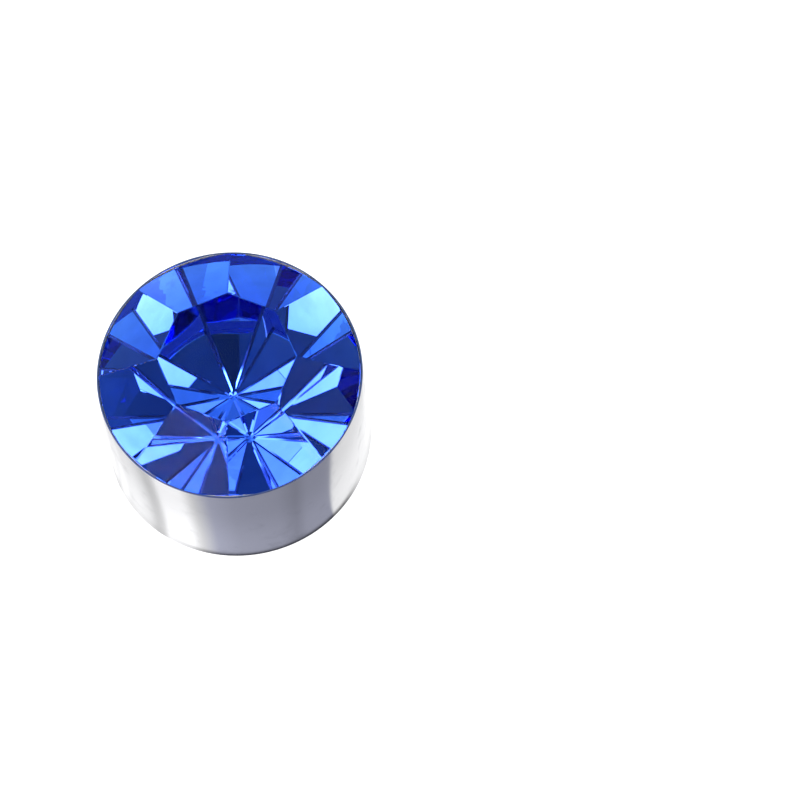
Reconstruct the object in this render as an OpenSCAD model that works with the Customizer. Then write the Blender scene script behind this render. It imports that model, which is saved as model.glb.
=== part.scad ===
// A magnetic stud earring, unworn and standing on its flat back.
// A blue cut-glass stone fills the mouth of a round steel cup, and a flat magnet sits in the cup's base.
// Millimetres. The origin is the centre of the base, and +Z runs up the stud's axis to the stone's table.

/* [Stone] */
// Diameter of the stone at its girdle
stone_d = 7.86; // [7:0.02:14]
// Number of facets round the crown, and as many round the pavilion
facets = 8; // [8:2:16]
// Width of the table across its corners
table_d = 4.2; // [2:0.1:6]
// Slope of the crown facets, in degrees from the girdle
crown_angle = 36; // [24:0.5:45]
// Slope of the pavilion facets, in degrees from the girdle
pavilion_angle = 42.5; // [36:0.5:44]
// Thickness of the girdle where it is thinnest
girdle_t = 0.36; // [0.05:0.01:0.6]
// Turn of the stone in its cup, in degrees
stone_turn = -7.5; // [-22:0.5:22]

/* [Cup] */
// Width of the rim's flat land round the stone
rim_land = 0.05; // [0.03:0.01:0.3]
// Wall of the cup below the stone's seat
wall = 0.35; // [0.25:0.05:0.6]
// Floor of the cup, between the stone's point and the magnet
web = 0.2; // [0.1:0.05:0.6]
// Radius of the rounded foot
foot_r = 0.15; // [0.05:0.05:0.3]
// Room under the stone's point
point_room = 0.05; // [0.05:0.05:1]
// Height of the crown's corners above the rim
corner_proud = 0.1; // [0:0.01:0.2]

/* [Magnet] */
// Diameter of the magnet
magnet_d = 5.6; // [2:0.2:6.4]
// Thickness of the magnet
magnet_t = 0.6; // [0.4:0.1:2]
// Chamfer on both edges of the magnet
magnet_edge = 0.08; // [0.02:0.02:0.16]

/* [Fits] */
// Gap all round the stone
stone_gap = 0.02; // [0.01:0.01:0.05]
// Gap round the magnet and above it
magnet_gap = 0.03; // [0.01:0.01:0.08]

/* [Hidden] */
$fn = 96;
step = 360 / facets;

// Two facets meet on the girdle's circle, and a facet's middle would lie nearer the axis by this share
mid_share = cos(step / 2);
stone_r = stone_d / 2;

// A facet climbs this much along the girdle, from its corners to its middle
crown_wave = stone_r * (1 - mid_share) * tan(crown_angle);
pavilion_wave = stone_r * (1 - mid_share) * tan(pavilion_angle);

// Heights in the stone's own frame, where the crown's corners are at 0 and stand over pavilion middles
girdle_h = girdle_t + max(crown_wave, pavilion_wave);
crown_h = (stone_r - table_d / 2) * mid_share * tan(crown_angle);
pavilion_h = stone_r * mid_share * tan(pavilion_angle);
stone_depth = girdle_h + pavilion_h;

// The pavilion's edges slope less than its facets, and the cup's seat follows them
edge_angle = atan(tan(pavilion_angle) * mid_share);

// The cup is as tall as what it holds
pocket_h = magnet_t + magnet_gap;
floor_z = pocket_h + web;
stone_z = floor_z + point_room + stone_depth;
cup_h = stone_z - corner_proud;
mouth_r = stone_r + stone_gap;
cup_r = mouth_r + rim_land;
bore_r = cup_r - wall;
seat_z = stone_z - girdle_h - stone_gap;
seat_low_z = seat_z - (mouth_r - bore_r) * tan(edge_angle);
pocket_r = magnet_d / 2 + magnet_gap;

// Cutters reach past what they cut by this much
past = stone_d;

module cup() {
    color("silver") rotate_extrude() cup_section();
}

// Half of the cup's section, from the axis outwards
module cup_section() {
    difference() {
        cup_outline();
        polygon([
            [0, floor_z],
            [bore_r, floor_z],
            [bore_r, seat_low_z],
            [mouth_r, seat_z],
            [mouth_r, cup_h + past],
            [0, cup_h + past]
        ]);
        translate([0, -past]) square([pocket_r, past + pocket_h]);
    }
}

module cup_outline() {
    translate([0, foot_r]) square([cup_r, cup_h - foot_r]);
    square([cup_r - foot_r, cup_h]);
    translate([cup_r - foot_r, foot_r]) circle(foot_r);
}

// The stone is cut from a round blank, one facet after another
module stone() {
    color("royalblue") translate([0, 0, stone_z]) rotate(stone_turn) difference() {
        translate([0, 0, -stone_depth]) cylinder(r = stone_r, h = stone_depth + crown_h);
        for (i = [0 : facets - 1]) {
            rotate((i + 0.5) * step) facet_cutter(crown_angle, 0);
            rotate(i * step) mirror([0, 0, 1]) facet_cutter(pavilion_angle, girdle_h);
        }
    }
}

// A block whose lower face is a facet's plane, which meets the girdle's circle at its corners at the height z
module facet_cutter(angle, z) {
    translate([stone_r * mid_share, 0, z]) rotate([0, angle, 0])
        translate([-past, -past, 0]) cube([2 * past, 2 * past, past]);
}

module magnet() {
    color("gainsboro") rotate_extrude() polygon([
        [0, 0],
        [magnet_d / 2 - magnet_edge, 0],
        [magnet_d / 2, magnet_edge],
        [magnet_d / 2, magnet_t - magnet_edge],
        [magnet_d / 2 - magnet_edge, magnet_t],
        [0, magnet_t]
    ]);
}

cup();
stone();
magnet();
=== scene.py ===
# %% [markdown]
# # A magnetic stud earring with a blue glass stone
# This lesson dresses a small jewel that is already built to size. The frame holds three solids: a steel
# cup, a faceted stone and a flat magnet. Each gets a finer mesh here and a finish of its own, and then
# a studio is set up round them, because a cut stone shows little else than its lights.

# %% The frame
import math

import bmesh
import bpy
from mathutils import Matrix, Vector


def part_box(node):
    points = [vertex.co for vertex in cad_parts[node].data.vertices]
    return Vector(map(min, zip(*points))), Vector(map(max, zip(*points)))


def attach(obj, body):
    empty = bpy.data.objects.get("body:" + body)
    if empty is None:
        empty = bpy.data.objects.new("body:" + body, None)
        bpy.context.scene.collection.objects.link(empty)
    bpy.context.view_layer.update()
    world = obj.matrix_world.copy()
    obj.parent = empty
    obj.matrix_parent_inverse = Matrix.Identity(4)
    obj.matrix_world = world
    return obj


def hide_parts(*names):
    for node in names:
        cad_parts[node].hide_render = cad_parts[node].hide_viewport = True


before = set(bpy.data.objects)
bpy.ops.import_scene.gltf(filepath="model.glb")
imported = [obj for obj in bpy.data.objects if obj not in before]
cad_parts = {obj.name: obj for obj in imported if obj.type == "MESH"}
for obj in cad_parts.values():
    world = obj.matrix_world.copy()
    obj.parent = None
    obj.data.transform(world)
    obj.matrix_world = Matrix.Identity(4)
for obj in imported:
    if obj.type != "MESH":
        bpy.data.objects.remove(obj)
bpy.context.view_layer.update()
print("nodes:", sorted(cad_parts))

# %% [markdown]
# ## Sizes
# Blender's unit is the metre, and a jewel's edges are hundredths of a millimetre. Mesh tools compare
# distances with fixed tolerances, so each piece is modelled in millimetres and shrunk once at the end.
# The overall sizes come from the frame. The rest are the few that a bounding box can't tell.

# %% Sizes that the frame gives, in millimetres
mm = 0.001


def size_of(node):
    """A node's radius, and the heights of its foot and top."""
    low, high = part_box(node)
    return high[0] / mm, low[2] / mm, high[2] / mm


cup_r, _, cup_h = size_of("cup")
stone_r, stone_foot, stone_top = size_of("stone")
magnet_r, _, magnet_t = size_of("magnet")
print(f"cup: radius {cup_r:.2f}, top at {cup_h:.2f}")
print(f"stone: radius {stone_r:.2f}, foot at {stone_foot:.2f}, top at {stone_top:.2f}")
print(f"magnet: radius {magnet_r:.2f}, top at {magnet_t:.2f}")

# %% [markdown]
# ## Camera
# A jewel this small is shot from far away with a long lens, so its sides hardly converge. The camera
# stands at the end of an arm that rises steeply from the floor. It is turned a little about its own line
# of sight, which gives the stud in the picture its lean to the right. The stud stands left of the middle,
# so the camera is slid sideways and not turned towards it.

# %% Camera
camera_rise = math.radians(67.2)
camera_roll = math.radians(-8)
camera_reach = 400 * mm
frame_width = 24 * mm
slide_right = 5.11 * mm
slide_down = 0.76 * mm
sensor_width = 36
nearest_seen = 10 * mm
farthest_seen = 4000 * mm
girdle_top = Vector((0, 0, cup_h * mm))


def towards(azimuth, rise):
    """A unit vector to a point of the sky. Azimuth 0 is the far side, 90 the right, 180 the camera's."""
    turn, lift = math.radians(azimuth), math.radians(rise)
    return Vector((math.sin(turn) * math.cos(lift), math.cos(turn) * math.cos(lift), math.sin(lift)))


def add_object(name, data):
    obj = bpy.data.objects.new(name, data)
    bpy.context.collection.objects.link(obj)
    return obj


def make_camera():
    data = bpy.data.cameras.new("camera")
    data.sensor_width = sensor_width
    data.lens = sensor_width * camera_reach / frame_width
    data.clip_start = nearest_seen
    data.clip_end = farthest_seen
    data.dof.use_dof = False
    cam = add_object("camera", data)
    back = towards(180, math.degrees(camera_rise))
    pose = back.to_track_quat("Z", "Y").to_matrix() @ Matrix.Rotation(camera_roll, 3, "Z")
    cam.rotation_mode = "QUATERNION"
    cam.rotation_quaternion = pose.to_quaternion()
    cam.location = girdle_top + back * camera_reach + pose.col[0] * slide_right - pose.col[1] * slide_down
    bpy.context.scene.camera = cam
    return cam


camera = make_camera()
print("lens", round(camera.data.lens), "mm")

# %% [markdown]
# ## From bmesh to piece
# Every piece ends the same way. Doubles are merged so that poles and seams are closed, the normals are
# turned outwards, and the mesh is shrunk to metres. The object itself stays at the origin, unturned and
# unscaled. Each piece is then hung on the body that carries it and given its finishes, and the solid it
# stands for in the frame is hidden.

# %% Finishing a piece
merge_gap = 1e-5


def finish_piece(bm, name, node, materials):
    bmesh.ops.remove_doubles(bm, verts=bm.verts, dist=merge_gap)
    bmesh.ops.recalc_face_normals(bm, faces=bm.faces)
    bmesh.ops.scale(bm, vec=(mm, mm, mm), verts=bm.verts)
    mesh = bpy.data.meshes.new(name)
    bm.to_mesh(mesh)
    bm.free()
    for material in materials:
        mesh.materials.append(material)
    piece = add_object(name, mesh)
    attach(piece, "root")
    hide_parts(node)
    return piece


def report(piece):
    size = piece.dimensions / mm
    print(f"{piece.name}: {len(piece.data.polygons)} faces, {size[0]:.3f} x {size[1]:.3f} x {size[2]:.3f} mm")


# %% [markdown]
# ## Cutting the stone
# A cutter grinds flats on a turned blank, and that is the plainest way here too. Typing out the corners
# of all the facets would work, but every one would have to be calculated. `bisect_plane` with
# `clear_outer` is the grinding wheel: it takes away all that lies beyond a plane. Then the open cut is
# filled with one flat face, which is the facet. Each facet is given its finish as it is made. The blank
# has 96 sides, so that one of its corners falls on every corner of a facet.

# %% The stone's cut
facets = 8
table_d = 4.2
crown_angle = math.radians(36)
pavilion_angle = math.radians(42.5)
stone_turn = math.radians(-7.5)
blank_sides = 96
step = 2 * math.pi / facets
mid_share = math.cos(step / 2)
crown_h = (stone_r - table_d / 2) * mid_share * math.tan(crown_angle)
pavilion_h = stone_r * mid_share * math.tan(pavilion_angle)
crown_z = stone_top - crown_h
pavilion_z = stone_foot + pavilion_h
print(f"crown {crown_h:.2f}, girdle {crown_z - pavilion_z:.2f}, pavilion {pavilion_h:.2f}")

# %% Grinding one facet
GLASS, FOIL, GROUND, RIBBON = 0, 1, 2, 3


def grind(bm, turn, angle, z, side, index):
    """Cuts a facet that meets the girdle's circle at height z. Side is 1 for the crown, -1 below."""
    out = Vector((math.cos(turn), math.sin(turn), 0))
    normal = out * math.sin(angle) + Vector((0, 0, side * math.cos(angle)))
    point = out * stone_r * mid_share + Vector((0, 0, z))
    every = bm.verts[:] + bm.edges[:] + bm.faces[:]
    cut = bmesh.ops.bisect_plane(
        bm, geom=every, dist=merge_gap, plane_co=point, plane_no=normal, clear_outer=True,
    )
    rim = [e for e in cut["geom_cut"] if isinstance(e, bmesh.types.BMEdge)]
    made = bmesh.ops.contextual_create(bm, geom=rim)
    for face in made["faces"]:
        face.material_index = index


def make_blank():
    bm = bmesh.new()
    height = stone_top - stone_foot
    bmesh.ops.create_cone(
        bm, cap_ends=True, segments=blank_sides, radius1=stone_r, radius2=stone_r, depth=height,
    )
    bmesh.ops.translate(bm, vec=(0, 0, stone_foot + height / 2), verts=bm.verts)
    return bm


stone_bm = make_blank()
for i in range(facets):
    grind(stone_bm, stone_turn + (i + 0.5) * step, crown_angle, crown_z, 1, GLASS)
for i in range(facets):
    grind(stone_bm, stone_turn + i * step, pavilion_angle, pavilion_z, -1, FOIL)
print("facets ground:", 2 * facets)

# %% [markdown]
# ## The girdle
# The narrow wall between crown and pavilion is the girdle. The part of it inside the cup is left as
# ground, and the part that stands over the rim is clear glass. One cut at the rim's height, with nothing
# cleared away, gives each part faces of its own.

# %% Splitting the girdle at the rim
upright = 0.1
every = stone_bm.verts[:] + stone_bm.edges[:] + stone_bm.faces[:]
bmesh.ops.bisect_plane(stone_bm, geom=every, dist=merge_gap, plane_co=(0, 0, cup_h), plane_no=(0, 0, 1))
for face in stone_bm.faces:
    if abs(face.normal.z) < upright and face.calc_center_median().z < cup_h:
        face.material_index = GROUND
print("stone after grinding:", len(stone_bm.faces), "faces")

# %% [markdown]
# ## Polished edges
# Real facet edges are never knife sharp. Machine-cut glass is polished after it is cut, so each edge is
# a narrow ribbon that catches a light of its own. The pavilion is polished less carefully than the crown,
# and its wider ribbons are the pale strokes over the stone's point. A bevel does this, and the angle
# between two faces picks the facet edges out: the girdle's own small sides meet at much less.

# %% Polishing with a bevel
crown_soft = 0.02
pavilion_soft = 0.055
sharp_enough = math.radians(12)


def is_facet_edge(edge):
    return len(edge.link_faces) == 2 and edge.calc_face_angle() > sharp_enough


def middle_z(edge):
    return (edge.verts[0].co.z + edge.verts[1].co.z) / 2


def polish(bm, width, low, high):
    """Rounds the facet edges whose middles lie between two heights, and returns the new ribbons."""
    edges = [e for e in bm.edges if is_facet_edge(e) and low < middle_z(e) < high]
    made = bmesh.ops.bevel(
        bm, geom=edges, offset=width, offset_type="OFFSET", segments=2,
        profile=0.5, affect="EDGES", clamp_overlap=True, material=-1,
    )
    print("edges polished:", len(edges))
    return made["faces"]


crown_from = pavilion_z + crown_soft
polish(stone_bm, crown_soft, crown_from, math.inf)
ribbons = polish(stone_bm, pavilion_soft, -math.inf, crown_from)
for face in ribbons:
    if face.material_index == FOIL and abs(face.normal.z) > upright:
        face.material_index = RIBBON
print("stone after polishing:", len(stone_bm.faces), "faces")

# %% [markdown]
# ## Turning the cup
# The cup is lathe work, so its half section is drawn once and spun round the axis. A cylinder with loop
# cuts would give the outside, but not the pocket below or the slanted seat under the girdle. The spin
# runs in many small steps, so that the rim stays round in a close view, and the rim and the foot are
# arcs in the section, because a rounded corner is where steel shows its brightest and darkest lines.

# %% The cup's section
spin_steps = 256
wall = 0.35
web = 0.2
foot_r = 0.15
rim_soft = 0.015
stone_gap = 0.02
magnet_gap = 0.03
foot_steps = 8
rim_steps = 4
mouth_r = stone_r + stone_gap
bore_r = cup_r - wall
pocket_r = magnet_r + magnet_gap
pocket_h = magnet_t + magnet_gap
floor_z = pocket_h + web
seat_z = pavilion_z - stone_gap
seat_low_z = seat_z - (mouth_r - bore_r) * mid_share * math.tan(pavilion_angle)


def arc(centre, radius, start, end, steps):
    """Points on an arc in the section's plane, with angles in degrees from the radius direction."""
    turns = [math.radians(start + (end - start) * i / steps) for i in range(steps + 1)]
    return [(centre[0] + radius * math.cos(t), centre[1] + radius * math.sin(t)) for t in turns]


cup_section = [
    (0, pocket_h),
    (pocket_r, pocket_h),
    (pocket_r, 0),
    *arc((cup_r - foot_r, foot_r), foot_r, -90, 0, foot_steps),
    *arc((cup_r - rim_soft, cup_h - rim_soft), rim_soft, 0, 90, rim_steps),
    (mouth_r, cup_h),
    (mouth_r, seat_z),
    (bore_r, seat_low_z),
    (bore_r, floor_z),
    (0, floor_z),
]
print("points in the cup's section:", len(cup_section))

# %% Spinning a section
sharp_corner = math.radians(30)


def turned(section):
    """A closed solid of revolution from a half section that starts and ends on the axis."""
    bm = bmesh.new()
    verts = [bm.verts.new((r, 0, z)) for r, z in section]
    edges = [bm.edges.new(pair) for pair in zip(verts, verts[1:])]
    bmesh.ops.spin(
        bm, geom=verts + edges, cent=(0, 0, 0), axis=(0, 0, 1), angle=2 * math.pi,
        steps=spin_steps, use_merge=True,
    )
    bmesh.ops.remove_doubles(bm, verts=bm.verts, dist=merge_gap)
    bmesh.ops.recalc_face_normals(bm, faces=bm.faces)
    return bm


def smooth_round(bm):
    """Smooth shading, with every edge that turns by more than a sharp corner's angle left sharp."""
    for face in bm.faces:
        face.smooth = True
    for edge in bm.edges:
        edge.smooth = edge.calc_face_angle(0) < sharp_corner


cup_bm = turned(cup_section)
smooth_round(cup_bm)
print("cup:", len(cup_bm.faces), "faces")

# %% [markdown]
# The last thing turned is the narrow land round the mouth. Its finish is painted shade, a thin dark line
# that stands for the shadow of the gap beside the stone and parts the blue from the bright wall. The
# land's faces are picked by their height, and take the second finish of the cup.

# %% The land round the mouth
LAND = 1
land_faces = [face for face in cup_bm.faces if face.calc_center_median().z > cup_h - rim_soft]
for face in land_faces:
    face.material_index = LAND
print("faces on the land:", len(land_faces))

# %% [markdown]
# ## The magnet
# A pressed disc magnet has a small chamfer on both edges, which the nickel plating rounds. Its section
# has only a few points, and the same spin turns it.

# %% The magnet's section
magnet_edge = 0.08
edge_steps = 4


def rounded_disc(radius, height, edge):
    corner = radius - edge
    return [
        (0, 0),
        *arc((corner, edge), edge, -90, 0, edge_steps),
        *arc((corner, height - edge), edge, 0, 90, edge_steps),
        (0, height),
    ]


magnet_bm = turned(rounded_disc(magnet_r, magnet_t, magnet_edge))
smooth_round(magnet_bm)
print("magnet:", len(magnet_bm.faces), "faces")

# %% [markdown]
# ## Node helpers
# A material is a small graph of nodes. A few helpers keep the cells short: each adds one kind of node,
# sets its plain values and links it, and the finishes below are then put together from them.

# %% Numbers that go through nodes
def maths(tree, operation, *values):
    """A Math node. Each value is a number or a socket to link."""
    node = tree.nodes.new("ShaderNodeMath")
    node.operation = operation
    for socket, value in zip(node.inputs, values):
        if isinstance(value, (int, float)):
            socket.default_value = value
        else:
            tree.links.new(value, socket)
    return node.outputs[0]


def set_inputs(node, values):
    for name, value in values.items():
        node.inputs[name].default_value = value


def fade(tree, value, start, end, first, last):
    """A smooth change from first to last while the value goes from start to end."""
    node = tree.nodes.new("ShaderNodeMapRange")
    node.interpolation_type = "SMOOTHSTEP"
    set_inputs(node, {"From Min": start, "From Max": end, "To Min": first, "To Max": last})
    tree.links.new(value, node.inputs["Value"])
    return node.outputs["Result"]


# %% Starting and ending a material
def blank_material(name):
    material = bpy.data.materials.new(name)
    material.use_nodes = True
    material.node_tree.nodes.clear()
    return material, material.node_tree


def add_surface(tree, values):
    surface = tree.nodes.new("ShaderNodeBsdfPrincipled")
    set_inputs(surface, values)
    return surface


def finish_with(tree, shader, volume=None):
    out = tree.nodes.new("ShaderNodeOutputMaterial")
    tree.links.new(shader.outputs[0], out.inputs["Surface"])
    if volume:
        tree.links.new(volume.outputs[0], out.inputs["Volume"])


# %% [markdown]
# ## Marks of the lathe
# Steel and nickel share one effect: fine rings left by turning and rolling, and small cloudy scuffs from
# handling. It is a node group, so both finishes use it with values of their own. The rings are noise that
# is stretched along the circle. Its coordinates are the distance from the axis, the height, and a slow
# cosine of the angle, which has no seam.

# %% Where a point is
def place(tree):
    """The x, y and z of a point of the piece, in metres."""
    coords = tree.nodes.new("ShaderNodeTexCoord")
    split = tree.nodes.new("ShaderNodeSeparateXYZ")
    tree.links.new(coords.outputs["Object"], split.inputs[0])
    return split.outputs


def from_axis(tree, x, y):
    """The distance from the stud's axis."""
    squares = maths(tree, "ADD", maths(tree, "MULTIPLY", x, x), maths(tree, "MULTIPLY", y, y))
    return maths(tree, "SQRT", squares)


# %% Turned marks, a shared group
scuff_range = (0.5, 0.75)


def make_turned_marks():
    group = bpy.data.node_groups.new("turned_marks", "ShaderNodeTree")
    for name, kind, side in (
        ("Ring Density", "NodeSocketFloat", "INPUT"), ("Scuff Density", "NodeSocketFloat", "INPUT"),
        ("Rings", "NodeSocketFloat", "OUTPUT"), ("Scuffs", "NodeSocketFloat", "OUTPUT"),
    ):
        group.interface.new_socket(name, in_out=side, socket_type=kind)
    given = group.nodes.new("NodeGroupInput")
    result = group.nodes.new("NodeGroupOutput")
    x, y, z = place(group)
    angle = maths(group, "ARCTAN2", x, y)
    unrolled = group.nodes.new("ShaderNodeCombineXYZ")
    density = given.outputs["Ring Density"]
    group.links.new(maths(group, "MULTIPLY", from_axis(group, x, y), density), unrolled.inputs["X"])
    group.links.new(maths(group, "MULTIPLY", z, density), unrolled.inputs["Y"])
    group.links.new(maths(group, "COSINE", angle), unrolled.inputs["Z"])
    rings = group.nodes.new("ShaderNodeTexNoise")
    set_inputs(rings, {"Scale": 1.0, "Detail": 3.0, "Roughness": 0.6})
    group.links.new(unrolled.outputs[0], rings.inputs["Vector"])
    coords = group.nodes.new("ShaderNodeTexCoord")
    scuffs = group.nodes.new("ShaderNodeTexNoise")
    set_inputs(scuffs, {"Detail": 4.0, "Roughness": 0.65})
    group.links.new(coords.outputs["Object"], scuffs.inputs["Vector"])
    group.links.new(given.outputs["Scuff Density"], scuffs.inputs["Scale"])
    group.links.new(rings.outputs["Fac"], result.inputs["Rings"])
    group.links.new(fade(group, scuffs.outputs["Fac"], *scuff_range, 0, 1), result.inputs["Scuffs"])
    return group


turned_marks = make_turned_marks()
print(f"{turned_marks.name}: {len(turned_marks.nodes)} nodes")

# %% Putting marks and tints on a surface
def add_bump(tree, surface, height, distance):
    """Height goes from 0 to 1, and the distance is the depth in metres that it stands for."""
    bump = tree.nodes.new("ShaderNodeBump")
    set_inputs(bump, {"Strength": 1.0, "Distance": distance})
    tree.links.new(height, bump.inputs["Height"])
    tree.links.new(bump.outputs[0], surface.inputs["Normal"])


def tint_between(tree, surface, mask, clean, worn):
    """The base colour goes from clean to worn by a mask."""
    mix = tree.nodes.new("ShaderNodeMix")
    mix.data_type = "RGBA"
    mix.inputs[6].default_value = (*clean, 1)
    mix.inputs[7].default_value = (*worn, 1)
    tree.links.new(mask, mix.inputs[0])
    tree.links.new(mix.outputs[2], surface.inputs["Base Color"])


def add_marks(tree, surface, ring_density, scuff_density, smooth, rough, groove):
    """Adds the group to a metal. Smooth and rough are its roughness without and with marks."""
    marks = tree.nodes.new("ShaderNodeGroup")
    marks.node_tree = turned_marks
    set_inputs(marks, {"Ring Density": ring_density, "Scuff Density": scuff_density})
    rings, scuffs = marks.outputs["Rings"], marks.outputs["Scuffs"]
    worn = maths(tree, "MULTIPLY_ADD", scuffs, 0.5, maths(tree, "MULTIPLY", rings, 0.5))
    tree.links.new(fade(tree, worn, 0, 1, smooth, rough), surface.inputs["Roughness"])
    add_bump(tree, surface, rings, groove)
    return scuffs


# %% [markdown]
# ## Glass
# The stone is clear glass coloured all through, so the colour belongs in its volume and not on its
# skin: a long way through the stone is a deep navy, a short one a bright sky blue. Red light is
# swallowed fastest, then green. The density is per real metre, which is another reason to model a jewel
# at its real size. The surface itself is polished and plain, and its variation comes from the cut.

# %% Blue glass
glass_ior = 1.63
stays_clear = (0.03, 0.37, 0.96)
swallowed_per_metre = 310


def make_glass():
    material, tree = blank_material("blue_glass")
    surface = add_surface(tree, {
        "Base Color": (1, 1, 1, 1),
        "Roughness": 0.0,
        "IOR": glass_ior,
        "Transmission Weight": 1.0,
        "Specular Tint": (0.07, 0.07, 0.07, 1),
    })
    inside = tree.nodes.new("ShaderNodeVolumeAbsorption")
    set_inputs(inside, {"Color": (*stays_clear, 1), "Density": swallowed_per_metre})
    finish_with(tree, surface, inside)
    return material


blue_glass = make_glass()
print(f"{blue_glass.name}: index {glass_ior}, {swallowed_per_metre} per metre")

# %% [markdown]
# ## Foil
# A glass stone would let most light out of its back, so its pavilion is silvered and sealed. Seen from
# above, that coat is a mirror behind every facet. The coat is thin and not quite even, so it has a faint
# ripple, patches that reflect a little less, and a few dull clouds. More ripple than this would break up
# the straight edges inside the stone.

# %% Soft noise
def cloudy(tree, density):
    """Soft noise over a piece, with so many cells to a metre."""
    coords = tree.nodes.new("ShaderNodeTexCoord")
    noise = tree.nodes.new("ShaderNodeTexNoise")
    set_inputs(noise, {"Scale": density, "Detail": 2.0})
    tree.links.new(coords.outputs["Object"], noise.inputs["Vector"])
    return noise.outputs["Fac"]


# %% Silver foil under the pavilion
foil_ripple = 0.0003 * mm
fresh_silver = (0.97, 0.97, 0.97)
dull_silver = (0.87, 0.88, 0.88)
ripples, tarnish, clouds = 900, 1100, 1500
tarnish_range = (0.35, 0.7)
cloud_range = (0.55, 0.8)
cloud_roughness = 0.06


def make_foil():
    material, tree = blank_material("silver_foil")
    surface = add_surface(tree, {"Metallic": 1.0})
    dull = fade(tree, cloudy(tree, clouds), *cloud_range, 0, cloud_roughness)
    tree.links.new(dull, surface.inputs["Roughness"])
    tarnished = fade(tree, cloudy(tree, tarnish), *tarnish_range, 0, 1)
    tint_between(tree, surface, tarnished, fresh_silver, dull_silver)
    add_bump(tree, surface, cloudy(tree, ripples), foil_ripple)
    finish_with(tree, surface)
    return material


silver_foil = make_foil()
print("made", silver_foil.name)

# %% [markdown]
# The coat is put on by dipping. It runs down the ribbons and gathers at the point, where it is smooth and
# bright. Further up it stays thin there, so the ribbons are dark lines between the facets. They have a
# foil of their own, which turns darker and rougher with the height.

# %% Foil on the ribbons
smooth_to = 0.5
thin_from = 0.82
thin_silver = (0.2, 0.2, 0.28)
thin_roughness = 0.2


def make_ribbon_foil():
    material, tree = blank_material("ribbon_foil")
    surface = add_surface(tree, {"Metallic": 1.0})
    height = place(tree)["Z"]
    thin = fade(tree, height, (stone_foot + smooth_to) * mm, (stone_foot + thin_from) * mm, 0, 1)
    tree.links.new(maths(tree, "MULTIPLY", thin, thin_roughness), surface.inputs["Roughness"])
    tint_between(tree, surface, thin, fresh_silver, thin_silver)
    finish_with(tree, surface)
    return material


ribbon_foil = make_ribbon_foil()
print("made", ribbon_foil.name)

# %% [markdown]
# The girdle inside the cup is never polished. It is left as ground, so it scatters light as chalk does,
# and its finish is a matte pale coat with a fine grain.

# %% Ground girdle
grinding_grain = 9000
chalk_white = (0.98, 0.98, 0.94)
chalk_grey = (0.88, 0.88, 0.84)
chalk_roughness = (0.8, 1)
noise_range = (0.3, 0.7)


def make_ground_edge():
    material, tree = blank_material("ground_edge")
    surface = add_surface(tree, {"Metallic": 0.0, "Specular IOR Level": 0.0})
    grain = cloudy(tree, grinding_grain)
    tree.links.new(fade(tree, grain, *noise_range, *chalk_roughness), surface.inputs["Roughness"])
    tint_between(tree, surface, grain, chalk_white, chalk_grey)
    finish_with(tree, surface)
    return material


ground_edge = make_ground_edge()
print("made", ground_edge.name)

# %% [markdown]
# ## Turned steel
# The tool leaves fine rings round the cup. They scatter light up and down but hardly sideways, so the
# side shows upright bands of light and grey with fairly crisp edges. Anisotropy on the shader does that,
# and the rings are too fine to be modelled, so they are a small bump.

# %% Satin steel
clean_steel = (0.81, 0.81, 0.83)
scuffed_steel = (0.76, 0.76, 0.78)


def make_steel():
    material, tree = blank_material("turned_steel")
    surface = add_surface(tree, {"Metallic": 1.0, "Anisotropic": 0.9, "Anisotropic Rotation": 0.25})
    scuffs = add_marks(
        tree, surface, ring_density=14000, scuff_density=1400, smooth=0.1, rough=0.2, groove=0.0004 * mm,
    )
    tint_between(tree, surface, scuffs, clean_steel, scuffed_steel)
    finish_with(tree, surface)
    return material


turned_steel = make_steel()
print("made", turned_steel.name)

# %% [markdown]
# The land round the mouth is the same steel with painted shade on it, so it is darker, with a painted
# blue cast of the stone's light beside it, and in patches it is darker still and duller.

# %% Dark land
land_clouds = 2500
# Both tints are painted shade with a blue cast of the stone's light, varied in random patches.
paler_painted_shade = (0.1, 0.11, 0.25)
deeper_painted_shade = (0.06, 0.07, 0.16)
land_roughness = (0.25, 0.45)


def make_dark_land():
    material, tree = blank_material("dark_land")
    surface = add_surface(tree, {"Metallic": 1.0})
    land_patches = cloudy(tree, land_clouds)
    tree.links.new(fade(tree, land_patches, *noise_range, *land_roughness), surface.inputs["Roughness"])
    tint_between(tree, surface, land_patches, paler_painted_shade, deeper_painted_shade)
    finish_with(tree, surface)
    return material


dark_land = make_dark_land()
print("made", dark_land.name)

# %% [markdown]
# ## Nickel
# Disc magnets are plated in a drum, so their skin is brighter than turned steel and a little yellow. The
# marks are the same group with coarser values, and there is no anisotropy, because nothing turned them.

# %% Bright nickel
clean_nickel = (0.76, 0.75, 0.72)
scuffed_nickel = (0.66, 0.64, 0.6)


def make_nickel():
    material, tree = blank_material("bright_nickel")
    surface = add_surface(tree, {"Metallic": 1.0})
    scuffs = add_marks(
        tree, surface, ring_density=6000, scuff_density=900, smooth=0.12, rough=0.34, groove=0.0008 * mm,
    )
    tint_between(tree, surface, scuffs, clean_nickel, scuffed_nickel)
    finish_with(tree, surface)
    return material


bright_nickel = make_nickel()
print("made", bright_nickel.name)

# %% [markdown]
# ## Three pieces
# Everything is ready, so each mesh becomes an object and takes the place of its solid in the frame. The
# order of a piece's finishes is that of the numbers its faces were given.

# %% The three pieces
stone_finishes = [blue_glass, silver_foil, ground_edge, ribbon_foil]
stone = finish_piece(stone_bm, "faceted_stone", "stone", stone_finishes)
cup = finish_piece(cup_bm, "turned_cup", "cup", [turned_steel, dark_land])
magnet = finish_piece(magnet_bm, "disc_magnet", "magnet", [bright_nickel])
for piece in (stone, cup, magnet):
    report(piece)

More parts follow.
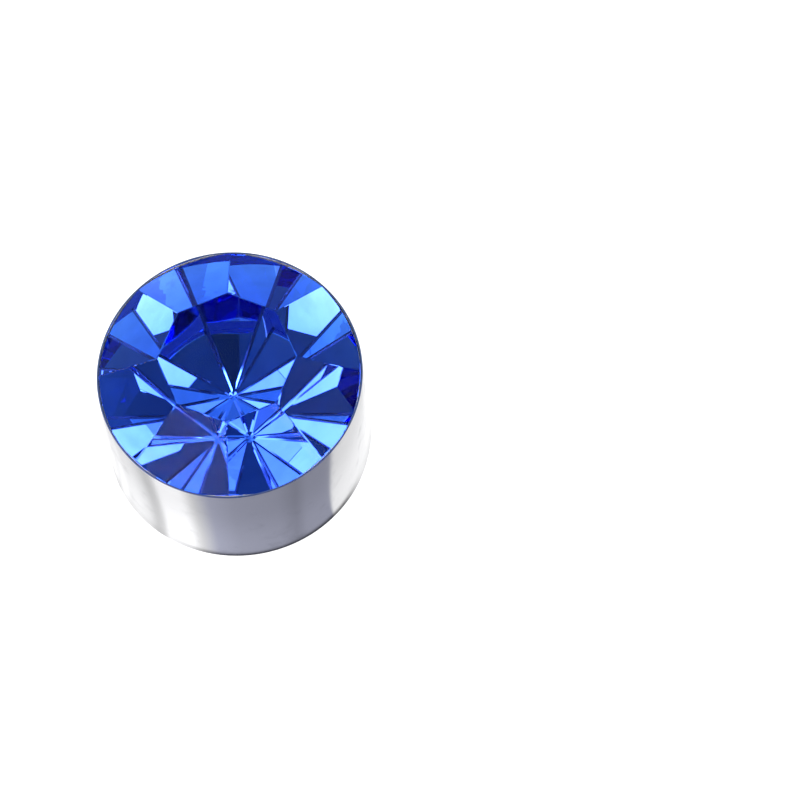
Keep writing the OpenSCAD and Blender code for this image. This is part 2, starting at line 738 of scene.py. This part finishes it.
# %% [markdown]
# ## Floor
# The stud stands on a pale sheet that runs out to pure white. Polished metal would mirror that sheet all
# round and look flat, so product photographers lay grey cards just outside the picture. Here the sheet
# itself carries those tones, by the angle round the stud, and the Light Path node keeps them out of the
# camera's own view of it.
#
# The tones are listed by the angle on the cup's wall where they show. A round wall fans out what it
# mirrors: near the foot it shows the tone right under it, and a point further out is seen less far round.
# Dividing the floor's angle by two less the share of the radius undoes that, so the bands stand upright.
# Right at the foot a thin dark ring is the gap's own shadow. It shows on the dim side only.

# %% Tones of the sheet
blue_cast = (0.97, 1, 1.24)
wall_tones = [
    (-90, 1.2), (-77, 1.12), (-73, 0.95), (-69, 1.2), (-63, 1.0), (-57, 1.05), (-50, 0.93), (-45.5, 0.66),
    (-42, 0.75), (-39, 1.22), (-28, 1.25), (-23, 0.78), (-16, 0.45), (-6, 0.37), (12, 0.33), (20, 0.26),
    (25, 0.32), (38, 0.32), (39.5, 0.9), (50, 0.95), (70, 1.03), (84, 1.2), (90, 1.25),
]
greyest = 0.5
print("tones:", len(wall_tones), "from", wall_tones[0][0], "to", wall_tones[-1][0], "degrees")


def ring_position(tree):
    """The angle round the stud, in degrees with 0 at the camera's side, and the distance from its axis."""
    x, y, _ = place(tree)
    angle = maths(tree, "DEGREES", maths(tree, "ARCTAN2", x, maths(tree, "MULTIPLY", y, -1)))
    return angle, from_axis(tree, x, y)


def tone_ramp(tree, angle, tones):
    """A ramp over an angle from -180 to 180 degrees."""
    ramp = tree.nodes.new("ShaderNodeValToRGB")
    stops = ramp.color_ramp.elements
    while len(stops) < len(tones):
        stops.new(0.5)
    for stop, (degrees, tone) in zip(stops, tones):
        red, green, blue = blue_cast if tone < greyest else (1, 1, 1)
        stop.position = (degrees + 180) / 360
        stop.color = (tone * red, tone * green, tone * blue, 1)
    share = maths(tree, "ADD", maths(tree, "DIVIDE", angle, 360), 0.5)
    tree.links.new(share, ramp.inputs["Fac"])
    return ramp.outputs["Color"]


# %% How strongly the sheet shows
glow_at_foot, glow_further = 1.09, 0.88
glow_reach = 1.5
back_from, back_to, back_share = 112, 140, 0.22
contact_near, contact_far, contact_share = 0.06, 0.13, 0.15
lit_share = 0.9
left_lit, left_dim = -45, 0
right_dim, right_lit = 40, 65
lit_until, dim_behind = 95, 115


def foot_shade(tree, angle, reach):
    """The thin dark ring at the foot, which fades out on the two lit sides and behind."""
    from_front = maths(tree, "ABSOLUTE", angle)
    touching = fade(tree, reach, (cup_r + contact_near) * mm, (cup_r + contact_far) * mm, contact_share, 1)
    left = fade(tree, angle, left_lit, left_dim, lit_share, 0)
    right = fade(tree, angle, right_dim, right_lit, 0, lit_share)
    lit_sides = maths(tree, "ADD", left, right)
    lit_sides = maths(tree, "MULTIPLY", lit_sides, fade(tree, from_front, lit_until, dim_behind, 1, 0))
    return maths(tree, "MAXIMUM", touching, lit_sides)


def sheet_strength(tree, angle, reach):
    """The tones are a little stronger near the foot and much weaker behind the stud."""
    strength = fade(tree, reach, cup_r * mm, glow_reach * cup_r * mm, glow_at_foot, glow_further)
    from_front = maths(tree, "ABSOLUTE", angle)
    behind = fade(tree, from_front, back_from, back_to, 1, back_share)
    return maths(tree, "MULTIPLY", maths(tree, "MULTIPLY", strength, behind), foot_shade(tree, angle, reach))


# %% The sheet
floor_half = 400 * mm
floor_drop = 0.01 * mm
sheet_grey = 0.35
sheet_glow = 0.9


def by_camera(tree, others, camera_sees):
    """One shader for the camera's own rays and one for all others."""
    path = tree.nodes.new("ShaderNodeLightPath")
    mix = tree.nodes.new("ShaderNodeMixShader")
    tree.links.new(path.outputs["Is Camera Ray"], mix.inputs["Fac"])
    tree.links.new(others.outputs[0], mix.inputs[1])
    tree.links.new(camera_sees.outputs[0], mix.inputs[2])
    return mix


def make_floor_material():
    material, tree = blank_material("pale_sheet")
    seen = add_surface(tree, {
        "Base Color": (sheet_grey, sheet_grey, sheet_grey, 1),
        "Roughness": 1.0,
        "Specular IOR Level": 0.0,
        "Emission Color": (1, 1, 1, 1),
        "Emission Strength": sheet_glow,
    })
    angle, reach = ring_position(tree)
    spread = maths(tree, "SUBTRACT", 2, maths(tree, "DIVIDE", cup_r * mm, reach))
    wall_angle = maths(tree, "DIVIDE", angle, spread)
    mirrored = tree.nodes.new("ShaderNodeEmission")
    tree.links.new(tone_ramp(tree, wall_angle, wall_tones), mirrored.inputs["Color"])
    tree.links.new(sheet_strength(tree, angle, reach), mirrored.inputs["Strength"])
    finish_with(tree, by_camera(tree, mirrored, seen))
    return material


def make_floor():
    bm = bmesh.new()
    bmesh.ops.create_grid(bm, x_segments=1, y_segments=1, size=floor_half)
    bmesh.ops.translate(bm, vec=(0, 0, -floor_drop), verts=bm.verts)
    mesh = bpy.data.meshes.new("floor")
    bm.to_mesh(mesh)
    bm.free()
    mesh.materials.append(make_floor_material())
    floor = add_object("floor", mesh)
    return floor


floor = make_floor()
print("floor:", round(floor.dimensions.x / mm), "mm square")

# %% [markdown]
# ## Lights
# A cut stone is a set of small mirrors behind windows, and each one shows a single patch of the studio.
# Where such a patch holds a softbox the facet is bright, and where it holds a bare wall it is dark. The
# softboxes are area lights all at one distance, placed by direction, so that each can be moved alone
# until its own facets light up. Two big keys give the sky blue facets on both sides, the wide weak ones
# the mid blues, and the small ones single facets and ribbons. The keys have slightly warm covers and the
# far ones cool covers, which brings out the pale facets against the rest.

# %% Softboxes
softbox_reach = 350 * mm
neutral = (1, 1, 1)
warm = (1.08, 0.96, 1)
cool = (0.68, 1.07, 1)


def softbox(name, azimuth, rise, half_wide, half_high, radiance, tint=neutral):
    """A lamp in a direction, in degrees, with half its width and height in degrees as the stud sees it."""
    data = bpy.data.lights.new(name, "AREA")
    data.color = tint
    data.shape = "RECTANGLE"
    data.size = 2 * softbox_reach * math.tan(math.radians(half_wide))
    data.size_y = 2 * softbox_reach * math.tan(math.radians(half_high))
    data.energy = radiance * math.pi * data.size * data.size_y
    lamp = add_object(name, data)
    back = towards(azimuth, rise)
    lamp.rotation_mode = "QUATERNION"
    lamp.rotation_quaternion = back.to_track_quat("Z", "Y")
    lamp.location = girdle_top + back * softbox_reach
    lamp.visible_camera = False
    return lamp


softboxes = [
    softbox("left_key", -117, 38, 29, 13.5, 6.5, warm),
    softbox("right_key", 139, 42, 14.5, 8.5, 6, warm),
    softbox("far_top", 21, 75, 28, 13, 0.85, cool),
    softbox("left_strip", -123, 57, 9.5, 5, 5, warm),
    softbox("right_fill", 81, 44, 21, 16, 1.8),
    softbox("left_back", -73, 62, 15, 9, 1.3),
    softbox("right_band", 106, 54, 25, 4, 1),
    softbox("far_low", -4, 57, 21.5, 6, 0.65, cool),
    softbox("right_spot", 117, 49, 4.5, 6, 2.6, warm),
    softbox("ceiling", -48, 89, 9.5, 8.5, 0.6, cool),
    softbox("left_tall", -66, 36, 6.5, 19.5, 3, warm),
    softbox("right_low", 122, 33, 4, 2, 3.5, warm),
    softbox("left_low", -160, 33, 7, 5, 0.5),
    softbox("left_pin", -136, 61.5, 3, 3, 1),
    softbox("edge_pin_left", -131, 60, 1.5, 1.5, 14),
    softbox("edge_pin_right", 160, 63, 1.5, 1.5, 18),
    softbox("left_ceiling", -84, 76.5, 6, 4.5, 0.13),
]
print("softboxes:", len(softboxes))

# %% [markdown]
# ## Studio walls
# What no softbox covers is the room. Its walls are lightest near the floor and dim towards the ceiling,
# and they are a little blue, as in a room with daylight. The camera hides a small patch of them, which is
# the dark wedge over the stone's point. The walls' light is a slope over the direction, and only the
# camera's own rays see plain white.

# %% Studio walls
wall_slope = (0.01, 0.08, -0.53)
wall_light = 0.73
wall_colour = (0.6, 0.95, 1.2)
camera_shadow = (168, 72.5)
shadow_outer = math.radians(6)
shadow_inner = math.radians(4)
shadow_share = 0.45


def along(tree, direction, fixed):
    """The dot product of the ray's direction and a fixed vector."""
    node = tree.nodes.new("ShaderNodeVectorMath")
    node.operation = "DOT_PRODUCT"
    node.inputs[1].default_value = fixed
    tree.links.new(direction, node.inputs[0])
    return node.outputs["Value"]


def make_world():
    world = bpy.data.worlds.new("studio")
    world.use_nodes = True
    tree = world.node_tree
    tree.nodes.clear()
    direction = tree.nodes.new("ShaderNodeTexCoord").outputs["Generated"]
    lift = maths(tree, "ADD", along(tree, direction, wall_slope), wall_light)
    near_camera = along(tree, direction, towards(*camera_shadow))
    shadow = fade(tree, near_camera, math.cos(shadow_outer), math.cos(shadow_inner), 1, shadow_share)
    strength = maths(tree, "MAXIMUM", maths(tree, "MULTIPLY", lift, shadow), 0)
    walls = tree.nodes.new("ShaderNodeBackground")
    walls.inputs["Color"].default_value = (*wall_colour, 1)
    tree.links.new(strength, walls.inputs["Strength"])
    sheet = tree.nodes.new("ShaderNodeBackground")
    sheet.inputs["Strength"].default_value = 1.0
    out = tree.nodes.new("ShaderNodeOutputWorld")
    tree.links.new(by_camera(tree, walls, sheet).outputs[0], out.inputs["Surface"])
    bpy.context.scene.world = world
    return world


studio = make_world()
print(f"{studio.name}: {len(studio.node_tree.nodes)} nodes")

# %% [markdown]
# ## View
# The Standard view keeps the white of the sheet white, where a film-like curve would turn it grey. Light
# passes many surfaces inside a cut stone, so the limits on bounces are raised.

# %% View
most_bounces = 32
most_in_glass = 24


def set_view():
    scene = bpy.context.scene
    scene.view_settings.view_transform = "Standard"
    scene.view_settings.look = "None"
    scene.cycles.max_bounces = most_bounces
    scene.cycles.glossy_bounces = most_in_glass
    scene.cycles.transmission_bounces = most_in_glass


set_view()
print("view:", bpy.context.scene.view_settings.view_transform)
